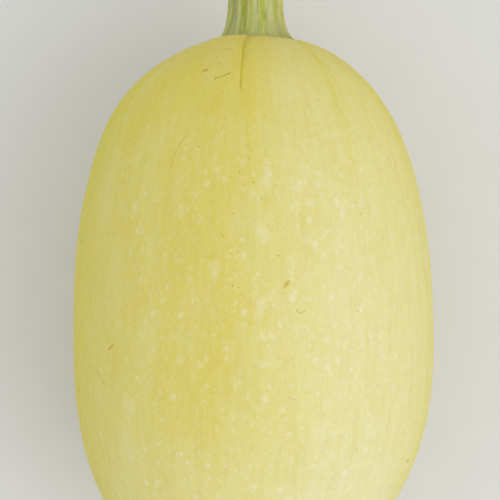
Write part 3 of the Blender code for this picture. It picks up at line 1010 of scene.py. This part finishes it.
# %% Paint the rind
def rind_paint(surface):
    """Broad tones first, then streaks, flecks and marks, each laid over what is there."""
    x, y, z = surface.split()
    turn, round_fruit = rolled(surface, FRUIT_RADIUS)
    length = round_fruit[1]
    oval = stretched(x, length, z, 1.3)
    wobble = oval.noise(WOBBLE_LUMP, 3.0).other("Color").vector("SUBTRACT", [0.5] * 3)
    oval = oval.vector("ADD", wobble.vector("MULTIPLY", [WOBBLE] * 3))
    haze = stretched(*round_fruit, 3.0).noise(HAZE_LUMP, 3.0)
    columns = stretched(*round_fruit, 8.0).noise(COLUMN_WIDTH)
    hairs = stretched(*round_fruit, 12.0).noise(HAIR_WIDTH)
    mottle = oval.noise(MOTTLE_LUMP, 3.0, 0.6)
    grain = surface.noise(GRAIN_LUMP)
    crumbs = surface.noise(CRUMB_LUMP, 4.0, 0.7)
    clouds = oval.noise(CLOUD_LUMP, 1.0)

    pale, deep_and_shade, gold_and_shade, ground, lip_highlight, blotch, corky = map(surface.paint, rind_paints)
    height = z - AXIS_HEIGHT
    out = (x * x + height * height).math("SQRT")
    off_pole = out.fade(0.006, 0.045)
    off_shoulder = length.fade(0.042, 0.102) * 0.94 + 0.06
    off_flank = turn.math("SINE").math("ABSOLUTE").fade(1.0, 0.45) * 0.5 + 0.5
    # More pale cloudiness towards the right, where the lamp is: partly painted sheen.
    sheen_to_right = turn.math("SINE").fade(-0.35, 0.45) * 0.15 + 0.05
    gathered = (columns.fade(0.36, 0.60) * 0.55 + 0.45) * off_shoulder * off_flank
    dust = specks(oval, DUST_CELL, DUST_RADIUS, DUST_SHARE)
    flecks = specks(oval.vector("ADD", (0.3, 0.1, 0.2)), FLECK_CELL, FLECK_RADIUS, FLECK_SHARE)
    blotches = (blotch + (mottle - 0.5) * 1.1).fade(0.30, 1.05)

    near_stem = ((y - SEAT_Y) / SEAM_SWING_REACH).math("EXPONENT")
    aside = out * (turn - CREASE_TURN - near_stem * seam_swing(CREASE_TURN))
    down = (y - SEAT_Y) / -CREASE_LENGTH
    crease = down.fade(CREASE_END_SHARES[1], CREASE_END_SHARES[0]) * y.fade(*CREASE_TOP)
    # The crease line is dark olive: partly its own colour and partly painted shade in the fold under
    # the proud lobe.
    line = aside.math("ABSOLUTE").fade(*CREASE_LINE) * crease
    warm_side = aside.fade(0.0, 0.0003) * aside.fade(*CREASE_WARM_SIDE) * crease * down.fade(0.80, 0.30)

    colour = lay(
        # The pale mask is partly painted sheen towards the lamp.
        pale.mix(BUTTER, CREAM),
        (haze.fade(0.42, 0.72) * 0.25, CREAM),
        (haze.fade(0.50, 0.25) * 0.14, DEEP_YELLOW),
        # Golden sides and shoulder, partly painted shade, and the golden seam.
        (gold_and_shade, GOLD_AND_SHADE_COLOUR),
        # Deeper yellow in places, with some painted shade at the stem end.
        (deep_and_shade, DEEP_YELLOW),
        (columns.fade(0.55, 0.30) * off_pole * 0.16, STREAK),
        (hairs.fade(0.50, 0.75) * off_pole * 0.20, DUST),
        (hairs.fade(0.50, 0.25) * off_pole * 0.14, STREAK),
        (mottle.fade(0.50, 0.72) * (pale * 0.25 + 0.20), DUST),
        (mottle.fade(0.48, 0.28) * 0.14, STREAK),
        (grain.fade(0.50, 0.75) * 0.16, FLECK),
        (grain.fade(0.50, 0.25) * 0.12, STREAK),
        # Pale clouds, stronger to the right: partly painted sheen.
        (clouds.fade(0.50, 0.72) * off_shoulder * sheen_to_right, FLECK),
        (dust * gathered * (pale * 0.55 + 0.27), FLECK),
        (flecks * gathered * (pale * 0.65 + 0.37), FLECK),
        (blotches * (pale * 0.30 + 0.21), FLECK),
        (ground * 0.65, GROUND_CREAM),
        # Painted highlight along the edge of the proud lobe beside the crease.
        (lip_highlight, LIP_HIGHLIGHT),
        (warm_side * 0.60, DEEP_YELLOW),
        # Painted shade, in part: the dark olive crease line.
        (line * 0.90, CREASE_OLIVE_AND_SHADE),
    )
    for draw, places, size, strength, mark in MARKS:
        colour = lay(colour, (draw(surface, places, size) * strength, mark))
    colour = lay(colour, (corky, crumbs.fade(0.35, 0.65).mix(CORK_DARK, CORK)))

    return {
        "Base Color": colour,
        "Roughness": haze * 0.10 + 0.50 + corky * 0.30,
        "Specular IOR Level": 0.18,
        "Coat Weight": corky.inverse() * 0.03,
        "Coat Roughness": 0.30,
        "Normal": (grain * 0.018 + columns * 0.030 + corky * crumbs * 0.35).bump(),
    }


finish(rind_skin, "butter_rind", rind_paint)

# %% [markdown]
# ## The scab's finish
# Healed tissue is tan cork with a darker edge.

# %% Paint the scab
SCAB_LIGHT = tone(224, 196, 94)
SCAB_MIDDLE = tone(212, 182, 80)
SCAB_EDGE = tone(166, 140, 44)


def scab_paint(surface):
    """Tan in the middle and brown towards the edge, broken by fine noise."""
    crumbs = surface.noise(0.0004, 3.0)
    edge = (surface.paint("edge") + crumbs * 0.5).fade(0.90, 1.35)
    colour = edge.mix(crumbs.fade(0.3, 0.7).mix(SCAB_MIDDLE, SCAB_LIGHT), SCAB_EDGE)
    return {"Base Color": colour, "Roughness": 0.75, "Normal": (crumbs * 0.05).bump()}


finish(scab, "scab_cork", scab_paint)

# %% [markdown]
# ## The stem's finish
# The skin is a pale grey-green cork with lengthwise stripes of olive, yellow-green, grey and tan,
# which follow the ridges only roughly and are split by fine fibres; the grooves and the deeper
# splits carry some painted shade. Tan spots show where it has worn, and it is dry and
# straw-coloured towards the cut. The cut face has a pale pith round a hollow darkened with
# painted shade, straw-coloured flesh, brown fibre bundles and a green-brown rim.

# %% The stem's colours
PALE = tone(187, 193, 122)
GREY_GREEN = tone(168, 174, 110)
OLIVE = tone(152, 160, 58)
YELLOW_GREEN = tone(184, 189, 76)
STEM_TAN = tone(194, 186, 106)
LIGHT_FIBRE = tone(212, 208, 150)
DARK_FIBRE = tone(142, 146, 70)
DARK_HAIR_AND_SPLIT_SHADE = tone(116, 116, 66)
WORN_TAN = tone(204, 170, 106)
FOOT_GREY = tone(170, 164, 104)
FOOT_TAN = tone(184, 180, 112)
STRAW = tone(186, 174, 120)
CUT_FLESH = tone(206, 194, 140)
PITH = tone(222, 212, 168)
BUNDLE = tone(150, 128, 76)
CUT_RIM = tone(146, 142, 84)
HOLLOW_SHADE = tone(104, 84, 56)

# %% The sizes of the stem's patterns
STRIPE_WIDTH = 0.0024
FIBRE_WIDTH = 0.0008
FINE_FIBRE_WIDTH = 0.0004
WORN_LUMP = 0.0016
BARK_LUMP = 0.0005


# %% Paint the stem
def stem_paint(surface):
    """The stripes first, then fibres, worn spots, the foot's margin and the cut face."""
    _, round_stem = rolled(surface, STEM_RADIUS)
    broad = stretched(*round_stem, 16.0).noise(STRIPE_WIDTH)
    fibres = stretched(*round_stem, 9.0).noise(FIBRE_WIDTH, 3.0)
    hairs = stretched(*round_stem, 12.0).noise(FINE_FIBRE_WIDTH)
    worn = surface.noise(WORN_LUMP, 4.0, 0.6)
    grain = surface.noise(BARK_LUMP, 3.0)
    grey, yellow, tan, olive, *others = map(surface.paint, stem_paints)
    ridge, foot, cord, up, face, share, bundle = others

    ragged = (broad - 0.5) * 0.5 + (fibres - 0.5) * 0.9
    colour = lay(
        (grey + ragged).fade(0.25, 0.75).mix(PALE, GREY_GREEN),
        ((yellow + ragged).fade(0.25, 0.80) * 0.9, YELLOW_GREEN),
        ((tan + ragged).fade(0.30, 0.80) * 0.9, STEM_TAN),
        ((olive + ragged).fade(0.25, 0.75), OLIVE),
        # Olive in the grooves between the ridges: partly their own colour and partly painted shade.
        ((ridge + ragged).fade(0.30, 0.0) * 0.35, OLIVE),
        ((foot + ragged * 0.7).fade(0.25, 0.75) * 0.85, FOOT_TAN),
        (broad.fade(0.52, 0.70) * 0.30, LIGHT_FIBRE),
        (fibres.fade(0.53, 0.68) * 0.45, LIGHT_FIBRE),
        (fibres.fade(0.46, 0.30) * 0.45, DARK_FIBRE),
        # Dark hair-fine fibres, and painted shade in the deeper splits between the cords.
        ((hairs.fade(0.36, 0.22) + cord.fade(-0.6, -1.6)) * 0.40, DARK_HAIR_AND_SPLIT_SHADE),
        (worn.fade(0.55, 0.70) * ridge.fade(0.1, 0.6) * 0.55, WORN_TAN),
        (grain.fade(0.5, 0.8) * 0.25, LIGHT_FIBRE),
        ((up + worn * 5.0).fade(6.0, 2.4) * 0.55, FOOT_GREY),
        ((up + broad * 14.0).fade(34.0, 46.0), STRAW),
    )
    flesh = lay(
        grain.fade(0.3, 0.7).mix(CUT_FLESH, STRAW),
        (fibres.fade(0.45, 0.65) * 0.5, PITH),
        ((share + worn * 0.30).fade(0.56, 0.38), PITH),
        (bundle * (worn.fade(0.25, 0.60) * 0.5 + 0.4), BUNDLE),
        ((share + fibres * 0.12).fade(0.95, 1.05) * 0.8, CUT_RIM),
        # Painted shade in the hollow at the middle of the cut face.
        ((share + grain * 0.12).fade(0.26, 0.14) * 0.9, HOLLOW_SHADE),
    )
    relief = (fibres * 0.10 + hairs * 0.06 + worn * 0.05) * face.inverse() + grain * face * 0.10
    colour = face.mix(colour, flesh)
    normal = relief.bump()
    return {"Base Color": colour, "Roughness": 0.8, "Specular IOR Level": 0.25, "Normal": normal}


finish(stem_skin, "dry_stem", stem_paint)

# %% [markdown]
# ## Floor and light
# The shadows are soft: a wide bright sky gives most of the light, and one broad lamp on the right
# gives the roundness. The floor is plain and pale, a hair below the fruit so that the two
# surfaces don't share a plane.

# %% Floor
FLOOR_SIZE = 4.0
FLOOR_DROP = 0.0003
FLOOR_DARK = tone(222, 221, 218)
FLOOR_LIGHT = tone(226, 225, 222)


def floor_paint(surface):
    """A faint cloudiness."""
    return {"Base Color": surface.noise(0.02, 4.0).mix(FLOOR_DARK, FLOOR_LIGHT), "Roughness": 0.8}


bpy.ops.mesh.primitive_plane_add(size=FLOOR_SIZE, location=(0, 0, -FLOOR_DROP))
floor = bpy.context.object
floor.name = "floor"
finish(floor, "pale_floor", floor_paint)

# %% Light
KEY_PLACE = (0.9, -0.40, 1.25)
KEY_SIZE = 1.3
KEY_POWER = 6.0
KEY_COLOUR = (1.0, 0.98, 0.95)
SKY_STRENGTH = 0.83
SKY_COLOUR = (0.96, 0.98, 1.0, 1.0)

key_light = bpy.data.lights.new("key", "AREA")
key_light.shape = "DISK"
key_light.size = KEY_SIZE
key_light.energy = KEY_POWER
key_light.color = KEY_COLOUR
key = bpy.data.objects.new("key", key_light)
key.location = KEY_PLACE
aim = Vector((0, 0, AXIS_HEIGHT)) - Vector(KEY_PLACE)
key.rotation_euler = aim.to_track_quat("-Z", "Y").to_euler()
scene.collection.objects.link(key)

sky = bpy.data.worlds.new("sky")
sky.use_nodes = True
background = sky.node_tree.nodes["Background"]
background.inputs["Color"].default_value = SKY_COLOUR
background.inputs["Strength"].default_value = SKY_STRENGTH
scene.world = sky
scene.view_settings.view_transform = "Standard"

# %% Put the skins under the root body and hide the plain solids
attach(rind_skin, "root")
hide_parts("fruit")
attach(scab, "root")
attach(stem_skin, "root")
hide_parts("stem")
bpy.context.view_layer.update()
